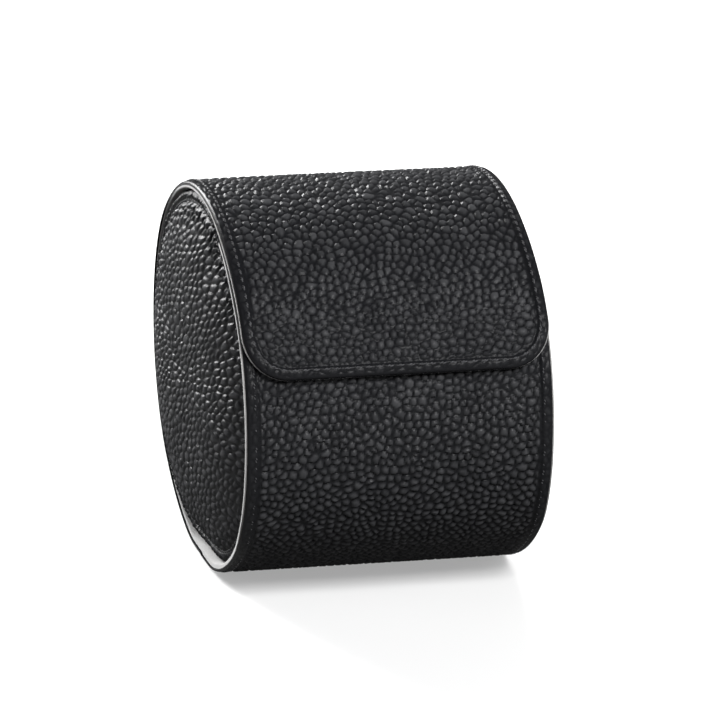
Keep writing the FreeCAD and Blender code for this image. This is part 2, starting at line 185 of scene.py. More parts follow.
def add(tree, kind, **settings):
    node = tree.nodes.new(kind)
    for key, value in settings.items():
        setattr(node, key, value)
    return node


def ramp(tree, source, stops):
    node = add(tree, "ShaderNodeValToRGB")
    elements = node.color_ramp.elements
    while len(elements) < len(stops):
        elements.new(0.5)
    for element, (place, colour) in zip(elements, stops):
        element.position = place
        element.color = (*colour, 1.0)
    tree.links.new(source, node.inputs["Fac"])
    return node.outputs["Color"]


def span(tree, source, old, new):
    node = add(tree, "ShaderNodeMapRange")
    tree.links.new(source, node.inputs["Value"])
    for socket, value in zip(("From Min", "From Max", "To Min", "To Max"), (*old, *new)):
        node.inputs[socket].default_value = value
    return node.outputs["Result"]


def math_node(tree, operation, *values):
    node = add(tree, "ShaderNodeMath", operation=operation)
    for socket, value in zip(node.inputs, values):
        if hasattr(value, "links"):
            tree.links.new(value, socket)
        else:
            socket.default_value = value
    return node.outputs[0]


def noise(tree, vector, scale, detail):
    node = add(tree, "ShaderNodeTexNoise")
    node.inputs["Scale"].default_value = scale
    node.inputs["Detail"].default_value = detail
    tree.links.new(vector, node.inputs["Vector"])
    return node.outputs["Fac"]


def bump(tree, height, depth, strength=1.0):
    node = add(tree, "ShaderNodeBump")
    node.inputs["Distance"].default_value = depth * MM
    node.inputs["Strength"].default_value = strength
    tree.links.new(height, node.inputs["Height"])
    return node.outputs["Normal"]


def leather_material(name, wrinkle, finish):
    """Matt black hide with a thin finish. The pebble attribute is high on the tops and low in the creases, so
    the colour carries painted shade in the creases.
    """
    material, tree, shader = nodes_of(name)
    place = add(tree, "ShaderNodeUVMap", uv_map="grain").outputs["UV"]
    pebble = add(tree, "ShaderNodeAttribute", attribute_name="pebble").outputs["Fac"]
    fine = noise(tree, place, wrinkle, WRINKLE_DETAIL)
    normal = bump(tree, fine, WRINKLE_DEPTH, BUMP_STRENGTH)
    tree.links.new(normal, shader.inputs["Normal"])
    tree.links.new(normal, shader.inputs["Coat Normal"])
    patch = span(tree, noise(tree, place, PATCH_SCALE, PATCH_DETAIL), NOISE_SPAN, PATCH_TONES)
    tone = math_node(tree, "MULTIPLY", pebble, patch)
    mottled_and_shaded = math_node(tree, "MULTIPLY_ADD", fine, WRINKLE_TONE, tone)
    # The colour follows the pebbles' tone, darker in the creases as painted shade, with fine random mottling.
    tree.links.new(ramp(tree, mottled_and_shaded, LEATHER_SHADED_STOPS), shader.inputs["Base Color"])
    tree.links.new(span(tree, mottled_and_shaded, LEATHER_TONES, LEATHER_ROUGHNESS), shader.inputs["Roughness"])
    shader.inputs["Specular IOR Level"].default_value = 0.0
    shader.inputs["Coat Weight"].default_value = finish
    shader.inputs["Coat Roughness"].default_value = COAT_ROUGHNESS
    return material


def suede_material(name, dark, light, nap):
    """Grey suede: a short nap with cloudy brushing."""
    material, tree, shader = nodes_of(name)
    place = add(tree, "ShaderNodeTexCoord").outputs["Object"]
    cloud = noise(tree, place, SUEDE_CLOUD_SCALE, SUEDE_CLOUD_DETAIL)
    fuzz = noise(tree, place, SUEDE_FUZZ_SCALE, SUEDE_FUZZ_DETAIL)
    brushed = math_node(tree, "MULTIPLY", cloud, 1 - SUEDE_FUZZ_SHARE)
    mixed = math_node(tree, "MULTIPLY_ADD", fuzz, SUEDE_FUZZ_SHARE, brushed)
    dark_stop, light_stop = zip(NOISE_SPAN, (dark, light))
    tree.links.new(ramp(tree, mixed, [dark_stop, light_stop]), shader.inputs["Base Color"])
    tree.links.new(bump(tree, fuzz, nap, BUMP_STRENGTH), shader.inputs["Normal"])
    tree.links.new(span(tree, fuzz, NOISE_SPAN, SUEDE_ROUGHNESS), shader.inputs["Roughness"])
    shader.inputs["Specular IOR Level"].default_value = SUEDE_GLOSS
    shader.inputs["Sheen Weight"].default_value = SUEDE_SHEEN
    shader.inputs["Sheen Roughness"].default_value = SUEDE_SHEEN_ROUGHNESS
    return material


def grained_material(name, dark, light, scale, roughness, metallic, relief, gloss):
    """A plain material with a cloudy colour, a matching bump and uneven gloss."""
    material, tree, shader = nodes_of(name)
    place = add(tree, "ShaderNodeTexCoord").outputs["Object"]
    cloud = noise(tree, place, scale, PLAIN_DETAIL)
    dark_stop, light_stop = zip(NOISE_SPAN, (dark, light))
    tree.links.new(ramp(tree, cloud, [dark_stop, light_stop]), shader.inputs["Base Color"])
    tree.links.new(bump(tree, cloud, relief), shader.inputs["Normal"])
    tree.links.new(span(tree, cloud, NOISE_SPAN, roughness), shader.inputs["Roughness"])
    shader.inputs["Metallic"].default_value = metallic
    shader.inputs["Specular IOR Level"].default_value = gloss
    return material


wrap_leather = leather_material("pebbled_leather", wrinkle=2.6, finish=0.095)
panel_leather = leather_material("fine_pebbled_leather", wrinkle=3.2, finish=0.072)
suede = suede_material("grey_suede", dark=(0.19, 0.187, 0.184), light=(0.36, 0.356, 0.352), nap=0.1)
edge_paint = grained_material(
    "edge_paint",
    dark=(0.006, 0.006, 0.007),
    light=(0.016, 0.016, 0.017),
    scale=900.0,
    roughness=(0.55, 0.75),
    metallic=0.0,
    relief=0.05,
    gloss=0.04,
)
thread_black = grained_material(
    "black_thread",
    dark=(0.022, 0.022, 0.024),
    light=(0.075, 0.075, 0.08),
    scale=2200.0,
    roughness=(0.45, 0.7),
    metallic=0.0,
    relief=0.04,
    gloss=0.2,
)
board = grained_material(
    "fibre_board",
    dark=(0.16, 0.14, 0.12),
    light=(0.30, 0.27, 0.23),
    scale=420.0,
    roughness=(0.75, 0.95),
    metallic=0.0,
    relief=0.05,
    gloss=0.3,
)
steel = grained_material(
    "magnet_strip",
    dark=(0.30, 0.30, 0.31),
    light=(0.45, 0.45, 0.46),
    scale=700.0,
    roughness=(0.3, 0.5),
    metallic=1.0,
    relief=0.01,
    gloss=0.5,
)


# Mesh helpers. EDGE_STEPS are the first distances from a rounded edge that get a line of points.
SHARP_ANGLE = 40.0
EDGE_STEPS = (0.0, 0.05, 0.12, 0.22, 0.35)


def mesh_piece(name, points, faces, materials, face_slots, uv=None, pebble=None):
    """A piece from points in mm and a list of face arrays, each with its material slot."""
    mesh = bpy.data.meshes.new(name)
    corners = np.concatenate([block.ravel() for block in faces])
    counts = np.concatenate([np.full(len(block), block.shape[1]) for block in faces])
    slots = np.concatenate([np.full(len(block), slot) for block, slot in zip(faces, face_slots)])
    starts = np.concatenate([[0], np.cumsum(counts)[:-1]])
    mesh.vertices.add(len(points))
    mesh.vertices.foreach_set("co", (points * MM).astype(np.float32).ravel())
    mesh.loops.add(len(corners))
    mesh.loops.foreach_set("vertex_index", corners.astype(np.int32))
    mesh.polygons.add(len(counts))
    mesh.polygons.foreach_set("loop_start", starts.astype(np.int32))
    mesh.polygons.foreach_set("material_index", slots.astype(np.int32))
    mesh.update(calc_edges=True)
    if uv is not None:
        layer = mesh.uv_layers.new(name="grain")
        layer.data.foreach_set("uv", uv[corners].astype(np.float32).ravel())
    if pebble is not None:
        attribute = mesh.attributes.new("pebble", "FLOAT", "POINT")
        attribute.data.foreach_set("value", pebble.astype(np.float32))
    mesh.polygons.foreach_set("use_smooth", np.ones(len(counts), bool))
    mesh.set_sharp_from_angle(angle=math.radians(SHARP_ANGLE))
    mesh.validate()
    for material in materials:
        mesh.materials.append(material)
    piece = bpy.data.objects.new(name, mesh)
    bpy.context.scene.collection.objects.link(piece)
    return piece


def grid_faces(rows, columns, start, flip):
    index = start + np.arange(rows * columns).reshape(rows, columns)
    quads = np.stack(
        [index[:-1, :-1], index[:-1, 1:], index[1:, 1:], index[1:, :-1]], axis=-1
    ).reshape(-1, 4)
    return quads[:, ::-1] if flip else quads


def slab(name, outer, inner, materials, uv, pebble, hidden_step):
    """A closed sheet between two grids of points. The first material is outside, the last on the cut edge.

    The hidden side keeps every row of the grid but only some of its columns.
    """
    rows, columns, _ = outer.shape
    kept = np.unique(np.append(np.arange(0, columns, hidden_step), columns - 1))
    inner = inner[:, kept]
    total = rows * columns
    first_edge = outer[0, 1] - outer[0, 0]
    next_edge = outer[1, 0] - outer[0, 0]
    outward = outer[0, 0] - inner[0, 0]
    flip = np.dot(np.cross(first_edge, next_edge), outward) < 0
    faces = [grid_faces(rows, columns, 0, flip), grid_faces(rows, len(kept), total, not flip)]
    above = np.arange(total).reshape(rows, columns)
    below = total + np.arange(rows * len(kept)).reshape(rows, len(kept))
    walls = []
    for column, turn in ((0, 1), (-1, -1)):
        upper = above[::turn, column]
        lower = below[::turn, column]
        walls.append(np.stack([upper[1:], lower[1:], lower[:-1], upper[:-1]], axis=-1))
    for row, turn in ((0, 1), (-1, -1)):
        for place, (left, right) in enumerate(zip(kept[:-1], kept[1:])):
            loop = np.concatenate([above[row, left : right + 1], below[row, [place + 1, place]]])
            walls.append(loop[None, ::-turn])
    if not flip:
        walls = [block[:, ::-1] for block in walls]
    points = np.concatenate([outer.reshape(-1, 3), inner.reshape(-1, 3)])
    maps = np.concatenate([uv.reshape(-1, 2), uv[:, kept].reshape(-1, 2)])
    grain_and_shade_all = np.concatenate([pebble.ravel(), pebble[:, kept].ravel()])
    slots = [0, 0] + [len(materials) - 1] * len(walls)
    return mesh_piece(name, points, faces + walls, materials, slots, maps, grain_and_shade_all)


def ring_quads(index):
    """Faces between closed rings of points, with one ring in each row of the index."""
    beside = np.roll(index, -1, axis=1)
    return np.stack([index[:-1], beside[:-1], beside[1:], index[1:]], axis=-1).reshape(-1, 4)


def ring_fan(ring, tip):
    """Faces from a closed ring of points to one tip."""
    return np.stack([ring, np.roll(ring, -1), np.full(len(ring), tip)], axis=-1)


def ring_body(name, rows, tips, side, material, pebble=None):
    """A closed body from rings of points, with a tip before the first ring and one after the last.

    The rings are those of the right end, and a side of -1 mirrors them to the left. The pebble values
    are for leather, which also needs places for its grain.
    """
    grid = np.stack(rows)
    count, spots, _ = grid.shape
    total = count * spots
    index = np.arange(total).reshape(count, spots)
    points = np.concatenate([grid.reshape(-1, 3), tips])
    faces = [ring_quads(index), ring_fan(index[0], total)[:, ::-1], ring_fan(index[-1], total + 1)]
    if side > 0:
        faces = [block[:, ::-1] for block in faces]
    points[:, 0] *= side
    uv = None if pebble is None else points[:, 1:3]
    return mesh_piece(name, points, faces, [material], [0] * len(faces), uv, pebble)


def flat_ring(x, y, z):
    """A ring of points that all lie at one place along the roll."""
    return np.stack([np.full_like(y, x), y, z], axis=-1)


# The grain of the hide. Pebbles sit in a honeycomb of cells, and lengths here are in cells.
PEBBLE_SEED = 7
PEBBLE_CELLS = 64
HALF_CELL = 0.5
ROW_RISE = 0.87
PEBBLE_SCATTER = 0.95
PEBBLE_ROOM = 0.98
PUSH_ROUNDS = 3
PUSH_REACH = 2
PUSH_SHARE = 0.3
LEAST_APART = 0.05
FAR = 9.0
PEBBLE_LEAST = 0.8
PEBBLE_SPREAD = 0.4
CREASE_WIDTH = 0.56
CROWN_SHARE = 0.25
CROWN_REACH = 0.7
# The tone of a pebble falls off towards the creases over this width: painted crease shade.
CREASE_SHADE_WIDTH = 0.5
TONE_LEAST = 0.6
TONE_SPREAD = 0.45
BORDER_TONE = 0.05
# Slow waves that keep the rows of cells from showing, in mm
STIR, STIR_RUN = 0.5, 6.3
RIPPLE, RIPPLE_RUN, RIPPLE_SLANT = 0.4, 2.9, 8.1
SWAY, SWAY_RUN, SWAY_START = 0.45, 5.7, 1.0


def pebble_table():
    """Place in its cell, size and tone of each pebble. Crowded pebbles push each other apart."""
    table = np.random.default_rng(PEBBLE_SEED).random((PEBBLE_CELLS, PEBBLE_CELLS, 4))
    place = PEBBLE_SCATTER * (table[..., :2] - HALF_CELL)
    odd = HALF_CELL * (np.arange(PEBBLE_CELLS) % 2)[:, None]
    near = range(-PUSH_REACH, PUSH_REACH + 1)
    for _ in range(PUSH_ROUNDS):
        push = np.zeros_like(place)
        for row in near:
            for column in near:
                if row == 0 and column == 0:
                    continue
                other = np.roll(place, (-row, -column), axis=(0, 1))
                over = column + np.roll(odd, -row, axis=0) - odd + other[..., 0] - place[..., 0]
                up = ROW_RISE * row + other[..., 1] - place[..., 1]
                apart = np.maximum(np.hypot(over, up), LEAST_APART)
                short = PUSH_SHARE * np.clip(PEBBLE_ROOM - apart, 0.0, 1.0) / apart
                push -= np.stack([over * short, up * short], axis=-1)
        place = np.clip(place + push, -HALF_CELL, HALF_CELL)
    table[..., :2] = place
    return table


PEBBLE_TABLE = pebble_table()


def pebbles(across, along, spacing):
    """Height and tone of many-sided pebbles with narrow creases between them. The tone is random per pebble
    and falls to nothing in the creases, which is painted shade.
    """
    stirred = across + STIR * np.sin(along / STIR_RUN)
    stirred = stirred + RIPPLE * np.sin(along / RIPPLE_RUN + across / RIPPLE_SLANT)
    a = stirred / spacing
    b = (along + SWAY * np.sin(across / SWAY_RUN + SWAY_START)) / (ROW_RISE * spacing)
    nearest = np.full(a.shape, FAR)
    second = np.full(a.shape, FAR)
    shade = np.zeros(a.shape)
    for row_shift in (-1, 0, 1):
        row = np.floor(b) + row_shift
        offset = HALF_CELL * (row % 2)
        for column_shift in (-1, 0, 1):
            column = np.floor(a - offset) + column_shift
            pick = PEBBLE_TABLE[(row % PEBBLE_CELLS).astype(int), (column % PEBBLE_CELLS).astype(int)]
            over = column + HALF_CELL + offset + pick[..., 0] - a
            up = ROW_RISE * (row + HALF_CELL - b) + pick[..., 1]
            distance = np.hypot(over, up) * (PEBBLE_LEAST + PEBBLE_SPREAD * pick[..., 2])
            closer = distance < nearest
            second = np.where(closer, nearest, np.minimum(second, distance))
            shade = np.where(closer, pick[..., 3], shade)
            nearest = np.minimum(nearest, distance)
    parted = second - nearest
    dome = np.clip(1 - (nearest / CROWN_REACH) ** 2, 0.0, 1.0)
    crown = ease(parted, 0.0, CREASE_WIDTH) * (1 - CROWN_SHARE + CROWN_SHARE * dome)
    tone = ease(parted, 0.0, CREASE_SHADE_WIDTH) * (TONE_LEAST + TONE_SPREAD * shade)
    return crown, tone


def blended_tone_and_shade(tone, field):
    """What the leather's colour follows: the pebbles in the field, with painted shade in their creases, and
    an even tone on smooth borders.
    """
    return tone * field + BORDER_TONE * (1 - field)


# The wrap. Borders are measured from the edge of the leather, and pairs are the ends of an easing.
BORDER_STEPS = np.array([*EDGE_STEPS, 0.5, *np.round(np.arange(0.7, 3.4, 0.2), 1), 3.6, 4.0])
REAR_STEP = 0.456
FRONT_STEP = 0.42
HIDDEN_STEP = 24
EDGE_ROLL = 1.7
EDGE_DROP_SHARE = 0.8
CREASE_LINE = 2.75
CREASE_DROP = 0.5
CREASE_HALF = 0.8
CREASE_PUCKER = 0.2
FIELD_START = 2.8
FIELD_FULL = 3.5
BORDER_GRAIN_SHARE = 0.35
BORDER_GRAIN_IN = (0.3, 0.9)
BORDER_GRAIN_OUT = (1.7, 2.4)
WRAP_PEBBLE = 2.05
WRAP_RELIEF = 0.56
TOP_PULL = 0.7
TOP_PULL_IN = (40.0, 85.0)
TOP_PULL_OUT = (125.0, 160.0)
REST_EASE = 0.4
REST_GRAIN_HEIGHTS = (0.3, 1.2)
WAVY_HEIGHTS = (2.0, 12.0)
WAVY_FULL = 9.0
CROSS_WAVE, CROSS_WAVE_X, CROSS_WAVE_START, CROSS_WAVE_RUN = 0.05, 7.3, 0.4, 9.1
SLANT_WAVE, SLANT_WAVE_X, SLANT_WAVE_RUN, SLANT_WAVE_START = 0.06, 15.0, 13.0, 1.1
SIDE_TOLERANCE = 0.01
LEAF_SPOTS = 8000
CORNER_STEP = 0.35
CORNER_FINE_SHARE = 1.25


def hollow(distance, centre, half, drop):
    """A rounded channel along a line at a distance from the edge."""
    share = np.clip(np.abs(distance - centre) / half, 0.0, 1.0)
    return drop * (1 + np.cos(np.pi * share)) / 2


def border_drop(distance, run, leather):
    """Depth of the leather below its field near an edge: a rolled edge, and a crease inside the stitches."""
    reach = np.clip(1 - distance / EDGE_ROLL, 0.0, 1.0)
    rolled = EDGE_DROP_SHARE * leather * (1 - np.sqrt(1 - reach**2))
    pucker = 1 - CREASE_PUCKER + CREASE_PUCKER * np.cos(2 * np.pi * run / STITCH_PITCH)
    return rolled + hollow(distance, CREASE_LINE, CREASE_HALF, CREASE_DROP) * pucker


def sinking(angle):
    """Depth of the front leaf below the oval, easing from its bend up to its full depth."""
    return LEAF_SUNK * ease(angle, FRONT_BEND_ANGLE, LEVEL_ANGLE)


def flush(angle):
    return np.zeros_like(angle)


def wrap_point(x, angle, inset):
    """Points at a depth below the oval, pressed flat with a soft edge where the roll rests."""
    y, z = body_oval.point(angle, inset)
    rest = inset * REST_SLOPE
    eased = (z + rest + np.sqrt((z - rest) ** 2 + REST_EASE**2)) / 2
    z = np.where(np.sin(np.radians(angle)) < 0, eased, z)
    return np.stack(np.broadcast_arrays(x, y, z), axis=-1)


def waviness(x, run):
    """Slow unevenness of a soft hide."""
    crossing = CROSS_WAVE * np.sin(x / CROSS_WAVE_X + CROSS_WAVE_START) * np.sin(run / CROSS_WAVE_RUN)
    slanting = SLANT_WAVE * np.sin(x / SLANT_WAVE_X + run / SLANT_WAVE_RUN + SLANT_WAVE_START)
    return crossing + slanting


class Leaf:
    """One bent sheet of the wrap, from the middle of the underside to its free end."""

    def __init__(self, end_angle, fall, corner, leather):
        self.fall = fall
        self.leather = leather
        self.corner = corner
        self.angles = np.linspace(UNDERSIDE, end_angle, LEAF_SPOTS)
        spots = wrap_point(0.0, self.angles, fall(self.angles))
        steps = np.linalg.norm(np.diff(spots, axis=0), axis=1)
        self.runs = np.concatenate([[0.0], np.cumsum(steps)])
        self.total = self.runs[-1]
        self.end_height = spots[-1, 2]

    def angle(self, run):
        return np.interp(run, self.runs, self.angles)

    def end_rise(self, run):
        """Height over the free end, which the rounded corners follow."""
        return wrap_point(0.0, self.angle(run), 0.0 * run)[..., 2] - self.end_height

    def grain_run(self, run):
        """The run as the grain sees it: the hide is drawn out where it is pulled over the top."""
        turn = self.angles % FULL_TURN
        pull = 1 + TOP_PULL * ease(turn, *TOP_PULL_IN) * (1 - ease(turn, *TOP_PULL_OUT))
        shares = np.concatenate([[0.0], np.cumsum(np.diff(self.runs) / pull[1:])])
        return np.interp(run, self.runs, shares)

    def half_width(self, run):
        if self.corner == 0:
            return np.full_like(run, HALF_LENGTH)
        near_end = run > self.total - 2 * self.corner
        short = np.clip(self.corner - self.end_rise(run), 0.0, self.corner)
        width = HALF_LENGTH - self.corner + np.sqrt(self.corner**2 - short**2)
        return np.where(near_end, width, HALF_LENGTH)

    def edge_distance(self, x, run):
        side = HALF_LENGTH - np.abs(x)
        if self.corner == 0:
            return np.minimum(side, self.total - run)
        height = np.where(run > self.total - 2 * self.corner, self.end_rise(run), HALF_LENGTH)
        across = self.corner - side
        along = self.corner - height
        in_corner = (across > 0) & (along > 0)
        rounded = self.corner - np.hypot(across, along)
        return np.where(in_corner, rounded, np.minimum(side, height))

    def grid(self, step, border_steps):
        """Rows from the underside to the end and columns across, fine along the edges."""
        fine = border_steps
        if self.corner:
            more = np.arange(fine[-1] + CORNER_STEP, CORNER_FINE_SHARE * self.corner, CORNER_STEP)
            fine = np.concatenate([fine, more])
        rest = np.arange(fine[-1] + step, self.total - step / 2, step)
        runs = self.total - np.concatenate([fine, rest, [self.total]])[::-1]
        half = self.half_width(runs)[:, None]
        inner_half = half - border_steps[-1]
        count = int(round(2 * (HALF_LENGTH - border_steps[-1]) / step))
        middle = np.linspace(-1.0, 1.0, count + 1)[None, 1:-1]
        border = half - border_steps[None, :]
        x = np.concatenate([-border, inner_half * middle, border[:, ::-1]], axis=1)
        return x, np.broadcast_to(runs[:, None], x.shape)


rear_leaf = Leaf(TIP_ANGLE - FULL_TURN, flush, CORNER, REAR_LEATHER)
front_leaf = Leaf(TONGUE_ANGLE, sinking, 0.0, FRONT_LEATHER)


def leather_skin(name, leaf, step):
    x, run = leaf.grid(step, BORDER_STEPS)
    angle = leaf.angle(run)
    distance = leaf.edge_distance(x, run)
    along_side = HALF_LENGTH - np.abs(x) <= distance + SIDE_TOLERANCE
    seam_run = np.where(along_side, run, x)
    inset = border_drop(distance, seam_run, leaf.leather)
    above_table = wrap_point(x, angle, 0.0 * x)[..., 2]
    lively = ease(above_table, *WAVY_HEIGHTS) * ease(distance, FIELD_START, WAVY_FULL)
    border = BORDER_GRAIN_SHARE * ease(distance, *BORDER_GRAIN_IN) * (1 - ease(distance, *BORDER_GRAIN_OUT))
    field = border + ease(distance, FIELD_START, FIELD_FULL)
    height, tone = pebbles(x, leaf.grain_run(run), WRAP_PEBBLE)
    on_rest = 1 - ease(above_table, *REST_GRAIN_HEIGHTS)
    inset = inset + waviness(x, run) * lively + WRAP_RELIEF * (1 - height) * field * (1 - on_rest)
    outer = wrap_point(x, angle, leaf.fall(angle) + inset)
    inner = wrap_point(x, angle, leaf.fall(angle) + leaf.leather)
    uv = np.stack([x, run], axis=-1)
    return slab(name, outer, inner, [wrap_leather, edge_paint], uv, blended_tone_and_shade(tone, field), HIDDEN_STEP)


# The lining of the wrap
LINING_STEPS = np.array([*EDGE_STEPS, 0.6, 1.2, 2.2])
LINING_STEP = 1.3
LINING_ROUND = 0.35
LINING_SHORT = 0.4
LINING_PROUD = 0.35
FLAP_LINING_PROUD = 0.2
LINING_SLIP = 0.02
PROUD_FRONT_IN = (-78.0, -40.0)
PROUD_FRONT_OUT = (50.0, TONGUE_ANGLE)
PROUD_FLAP_OUT = (60.0, 85.0)
SHORT_REAR_IN = (105.0, 135.0)
LINING_WAVE, LINING_WAVE_X, LINING_WAVE_SLANT, LINING_WAVE_RUN = 0.05, 3.1, 5.7, 4.3
LINING_WAVE_IN = (0.5, 4.0)
EVERY_COLUMN = 1


def lining_reach(leaf, angle):
    """How far the lining stands out of the leather at both ends. It is short at the rear and underneath."""
    if leaf is front_leaf:
        forward = ease(angle, *PROUD_FRONT_IN)
        return LINING_PROUD * forward * (1 - ease(angle, *PROUD_FRONT_OUT)) - LINING_SHORT * (1 - forward)
    turn = angle % FULL_TURN
    return FLAP_LINING_PROUD * (1 - ease(turn, *PROUD_FLAP_OUT)) - LINING_SHORT * ease(turn, *SHORT_REAR_IN)


def lining_skin(name, leaf):
    x, run = leaf.grid(LINING_STEP, LINING_STEPS)
    angle = leaf.angle(run)
    distance = leaf.edge_distance(x, run)
    reach = np.clip(LINING_ROUND - distance, 0.0, LINING_ROUND)
    rounding = LINING_ROUND - np.sqrt(LINING_ROUND**2 - reach**2)
    x = x * (1 + lining_reach(leaf, angle) / HALF_LENGTH)
    wave = LINING_WAVE * np.sin(x / LINING_WAVE_X + run / LINING_WAVE_SLANT) * np.sin(run / LINING_WAVE_RUN)
    soft = wave * ease(distance, *LINING_WAVE_IN)
    outer = wrap_point(x, angle, leaf.fall(angle) + leaf.leather + LINING_SLIP + 0.0 * x)
    inner = wrap_point(x, angle, leaf.fall(angle) + WRAP - rounding + soft)
    uv = np.stack([x, run], axis=-1)
    return slab(name, outer, inner, [suede], uv, np.ones_like(x), EVERY_COLUMN)


# Stitches of two twisted strands
STRAND_RINGS = 9
STRAND_SIDES = 6
STRAND_RADIUS = THREAD / 3.6
STRAND_SWELL = 1.25
STRAND_DIP_POWER = 4
THREAD_DEPTH = 0.12
FRONT_THREAD_DEPTH = 0.3
LIFT_PROBE = 1.0
SIDE_ROW_SPOTS = 600
FLAP_ROW_SPOTS = 700
CORNER_ROW_SPOTS = 60
CORNER_ROW_SHARE = 1.2


def strands(start, end, lift):
    """Two strands of thread twisted once, dipping into the hide at both ends."""
    share = np.linspace(0.0, 1.0, STRAND_RINGS)
    along = (end - start) / np.linalg.norm(end - start)
    across = np.cross(along, lift)
    dip = -THREAD * (2 * np.abs(share - 0.5)) ** STRAND_DIP_POWER
    centres = start[None] + np.outer(share, end - start) + np.outer(dip, lift)
    turn = np.linspace(0.0, 2 * np.pi, STRAND_SIDES, endpoint=False)[None, :, None]
    ring = STRAND_SWELL * STRAND_RADIUS * (np.cos(turn) * across + np.sin(turn) * lift)
    blocks = []
    for phase in (0.0, np.pi):
        twist = 2 * np.pi * share + phase
        offset = STRAND_RADIUS * (np.outer(np.cos(twist), across) + np.outer(np.sin(twist), lift))
        blocks.append((centres + offset)[:, None, :] + ring)
    return blocks


def seam(name, rows):
    """Stitches along rows of points with outward directions. A row says if it closes on itself."""
    points = []
    quads = []
    caps = []
    count = 0
    for spots, lifts, closed in rows:
        if closed:
            spots = np.concatenate([spots, spots[:1]])
            lifts = np.concatenate([lifts, lifts[:1]])
        steps = np.linalg.norm(np.diff(spots, axis=0), axis=1)
        runs = np.concatenate([[0.0], np.cumsum(steps)])
        number = int(round(runs[-1] / STITCH_PITCH))
        pitch = runs[-1] / number
        for stitch in range(number):
            ends = (stitch + 0.5 + np.array([-0.5, 0.5]) * STITCH_SHARE) * pitch
            start, end = [np.array([np.interp(run, runs, spots[:, k]) for k in range(3)]) for run in ends]
            middle = (stitch + 0.5) * pitch
            lift = np.array([np.interp(middle, runs, lifts[:, k]) for k in range(3)])
            along = (end - start) / np.linalg.norm(end - start)
            lift = lift - along * np.dot(lift, along)
            lift = lift / np.linalg.norm(lift)
            for block in strands(start, end, lift):
                rings, sides, _ = block.shape
                index = count + np.arange(rings * sides).reshape(rings, sides)
                points.append(block.reshape(-1, 3))
                quads.append(ring_quads(index))
                caps += [index[0][::-1][None], index[-1][None]]
                count += rings * sides
    faces = [np.concatenate(quads), np.concatenate(caps)]
    return mesh_piece(name, np.concatenate(points), faces, [thread_black], [0, 0])


def wrap_row(leaf, x, run, depth):
    angle = leaf.angle(run)
    spots = wrap_point(x, angle, leaf.fall(angle) + depth)
    above = wrap_point(x, angle, leaf.fall(angle) + depth - LIFT_PROBE)
    lifts = above - spots
    return spots, lifts / np.linalg.norm(lifts, axis=1)[:, None], False


def front_rows():
    """The stitch lines along both ends of the front leaf."""
    run = np.linspace(REST_HALF_WIDTH, front_leaf.total - STITCH_LINE, SIDE_ROW_SPOTS)
    rows = []
    for side in (-1, 1):
        x = np.full_like(run, side * (HALF_LENGTH - STITCH_LINE))
        rows.append(wrap_row(front_leaf, x, run, FRONT_THREAD_DEPTH))
    return rows


def flap_row():
    """The stitch line from the rest face up the rear and over the top, round the end of the flap and back."""
    run = np.linspace(REST_HALF_WIDTH, rear_leaf.total - CORNER_ROW_SHARE * CORNER, FLAP_ROW_SPOTS)
    radius = CORNER - STITCH_LINE
    turn = np.radians(np.linspace(0.0, FULL_TURN / 4, CORNER_ROW_SPOTS))
    corner_x = -(HALF_LENGTH - CORNER) - radius * np.cos(turn)
    corner_height = CORNER - radius * np.sin(turn)
    rises = rear_leaf.end_rise(rear_leaf.runs)
    near = rear_leaf.runs > rear_leaf.total - 2 * CORNER
    corner_run = np.interp(-corner_height, -rises[near], rear_leaf.runs[near])
    x = np.concatenate([np.full_like(run, -(HALF_LENGTH - STITCH_LINE)), corner_x])
    runs = np.concatenate([run, corner_run])
    x = np.concatenate([x, -x[::-1]])
    runs = np.concatenate([runs, runs[::-1]])
    return wrap_row(rear_leaf, x, runs, THREAD_DEPTH)


leather_rear = leather_skin("wrap_leather_rear", rear_leaf, REAR_STEP)
leather_front = leather_skin("wrap_leather_front", front_leaf, FRONT_STEP)
lining_rear = lining_skin("wrap_lining_rear", rear_leaf)
lining_front = lining_skin("wrap_lining_front", front_leaf)
stitching_rear = seam("wrap_stitching_rear", [flap_row()])
stitching_front = seam("wrap_stitching_front", front_rows())


# The end panels. Insets and depths are measured from the panel's outline.
PANEL_SPOTS = 800
EVEN_SPOTS = 4001
DOME_POWER = 3.6
RIM_RISE = 1.2
RIM_WIDTH = 1.5
RIM_BLUR = 8.0
RIM_BLUR_STEPS = 9
PANEL_STITCH_LINE = 2.5
PANEL_THREAD_DEPTH = 0.5
CHANNEL_HALF = 1.1
CHANNEL_DEPTH = 0.7
CHANNEL_PUCKER = 0.15
PUCKER, PUCKER_LINE, PUCKER_WIDTH = 0.14, 1.6, 1.3
RIM_PUCKER, RIM_PUCKER_LINE, RIM_PUCKER_WIDTH = 0.10, 1.0, 0.5
RIM_PLEAT = 1.15
PLEAT_SHARE = 0.7
PLEAT_SLANT = 0.6
PLEAT_IN = (0.1, 0.6)
PLEAT_OUT = (1.5, 2.1)
PANEL_PEBBLE = 1.9
PANEL_STRETCH = 2.8
PANEL_TURN = math.radians(14.0)
PANEL_SHIFT = 31.0
PANEL_RELIEF = 0.40
PANEL_FIELD_IN = (2.4, 3.2)
PANEL_STEPS = [*EDGE_STEPS, 0.5, 0.7, *np.round(np.arange(0.95, 3.0, 0.2), 2), 3.2, 3.5, 3.9, 4.35]
PANEL_FIELD_STEPS = np.arange(4.7, 25.6, 0.36)
PANEL_MIDDLE_DEPTH = 9.0
PANEL_MIDDLE_SHRINKS = np.linspace(1.0, 0.03, 42)[1:]
PANEL_BACK_INSET = 0.4
PANEL_BACK_RISE = 0.3
BACK_TONE = 0.5
MIDDLE_TONE = 0.7
BEND_ROOM = 0.9
BEND_ROOM_OUT = (2.0, 14.0)
